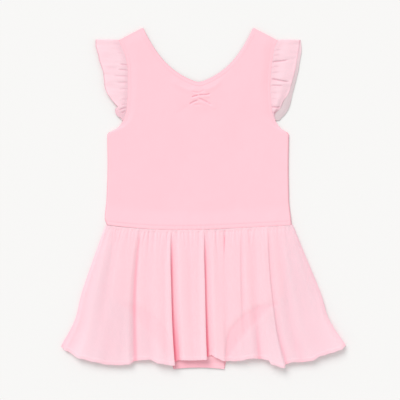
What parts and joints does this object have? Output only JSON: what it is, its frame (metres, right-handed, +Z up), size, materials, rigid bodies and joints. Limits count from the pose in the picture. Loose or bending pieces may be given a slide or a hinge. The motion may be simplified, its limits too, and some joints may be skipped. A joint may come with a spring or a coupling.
{
  "type": "skirted leotard",
  "caption": "Toddler's sleeveless ballet leotard laid flat, front up: scoop neck gathered to a pinch, flutter sleeves, and a sheer gathered skirt over the brief.",
  "frame": {"origin": "on the table, below the middle of the garment's outline", "axes": "+X towards the right of the picture (the wearer's left), +Y from hem to neck, +Z up from the table, through the garment's front"},
  "size_m": [0.3982, 0.4772, 0.0119],
  "materials": {
    "pink_jersey": "matte",
    "pink_chiffon": "matte"
  },
  "bodies": {
    "root": {"bodice_back": "pink_jersey", "bodice_front": "pink_jersey", "brief_back": "pink_jersey", "brief_front": "pink_jersey", "flutter_left": "pink_chiffon", "flutter_right": "pink_chiffon", "skirt_back": "pink_chiffon", "skirt_front": "pink_chiffon"}
  },
  "joints": []
}
